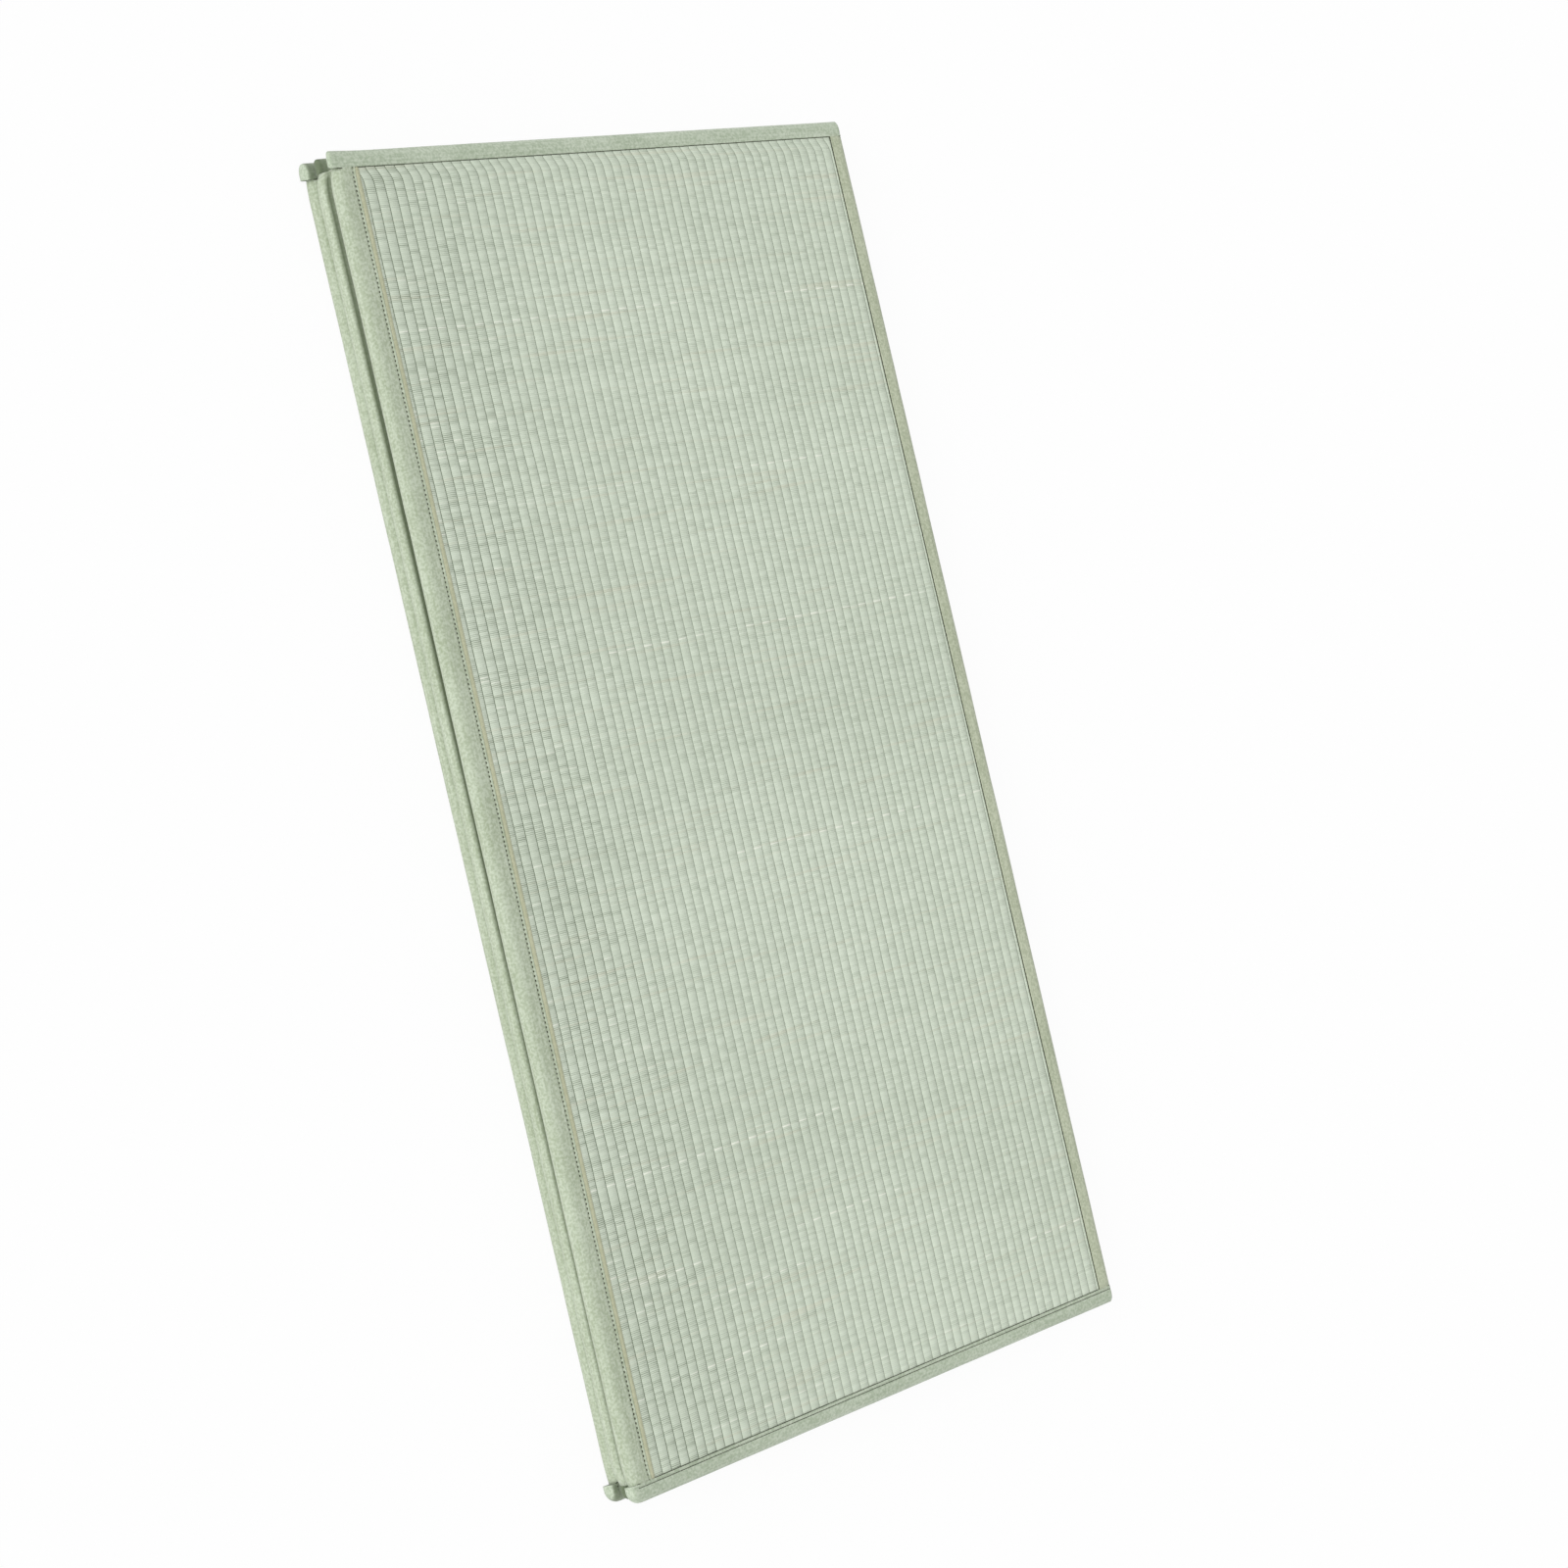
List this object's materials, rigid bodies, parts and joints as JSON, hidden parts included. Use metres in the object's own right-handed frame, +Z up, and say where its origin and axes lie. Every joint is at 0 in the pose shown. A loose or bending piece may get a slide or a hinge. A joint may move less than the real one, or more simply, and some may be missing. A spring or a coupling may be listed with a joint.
{
  "type": "folding floor mattress",
  "caption": "Thin floor mattress of hinged padded panels with a woven rush face, bound edges and a flat underside, folded up in a Z into a flat stack.",
  "frame": {"origin": "middle of the underside of the folded stack, on the floor", "axes": "+X across the panels, from the outer fold (-X) to the inner fold (+X); +Y along the panels towards the head end; +Z up, out of the top panel's rush face"},
  "size_m": [0.7, 1.4, 0.057],
  "materials": {
    "woven_rush": "pale green dried rush stalks, faint sheen",
    "warp_yarn": "twisted yarn",
    "binding_tape": "matt ribbed tape, grey green",
    "side_tape": "matt tape, olive",
    "thread": "spun sewing thread",
    "backing": "plain woven polyester",
    "lining": "non-woven",
    "felt": "compressed polyester felt",
    "foam": "open-cell foam"
  },
  "bodies": {
    "panel_3": {"rush_facing_3": "woven_rush", "warp_yarns_3": "warp_yarn", "lining_cloth_3": "lining", "felt_pad_3": "felt", "foam_core_3": "foam", "backing_cloth_3": "backing", "head_tape_3": "binding_tape", "foot_tape_3": "binding_tape", "seam_thread_3": "thread", "side_tape_3": "side_tape", "fold_tape_inner_3": "binding_tape"},
    "panel_2": {"rush_facing_2": "woven_rush", "warp_yarns_2": "warp_yarn", "lining_cloth_2": "lining", "felt_pad_2": "felt", "foam_core_2": "foam", "backing_cloth_2": "backing", "head_tape_2": "binding_tape", "foot_tape_2": "binding_tape", "seam_thread_2": "thread", "fold_tape_outer_2": "binding_tape", "fold_tape_inner_2": "binding_tape"},
    "panel_1": {"rush_facing_1": "woven_rush", "warp_yarns_1": "warp_yarn", "lining_cloth_1": "lining", "felt_pad_1": "felt", "foam_core_1": "foam", "backing_cloth_1": "backing", "head_tape_1": "binding_tape", "foot_tape_1": "binding_tape", "seam_thread_1": "thread", "fold_tape_outer_1": "binding_tape", "side_tape_1": "side_tape"}
  },
  "joints": [
    {"name": "inner_fold", "type": "hinge", "parent": "panel_3", "child": "panel_2", "pos_m": [0.3503, 0, 0.01895], "axis": [0, 1, 0], "range_deg": [0, 180]},
    {"name": "outer_fold", "type": "hinge", "parent": "panel_2", "child": "panel_1", "pos_m": [-0.3503, 0, 0.03805], "axis": [0, -1, 0], "range_deg": [0, 180]}
  ]
}
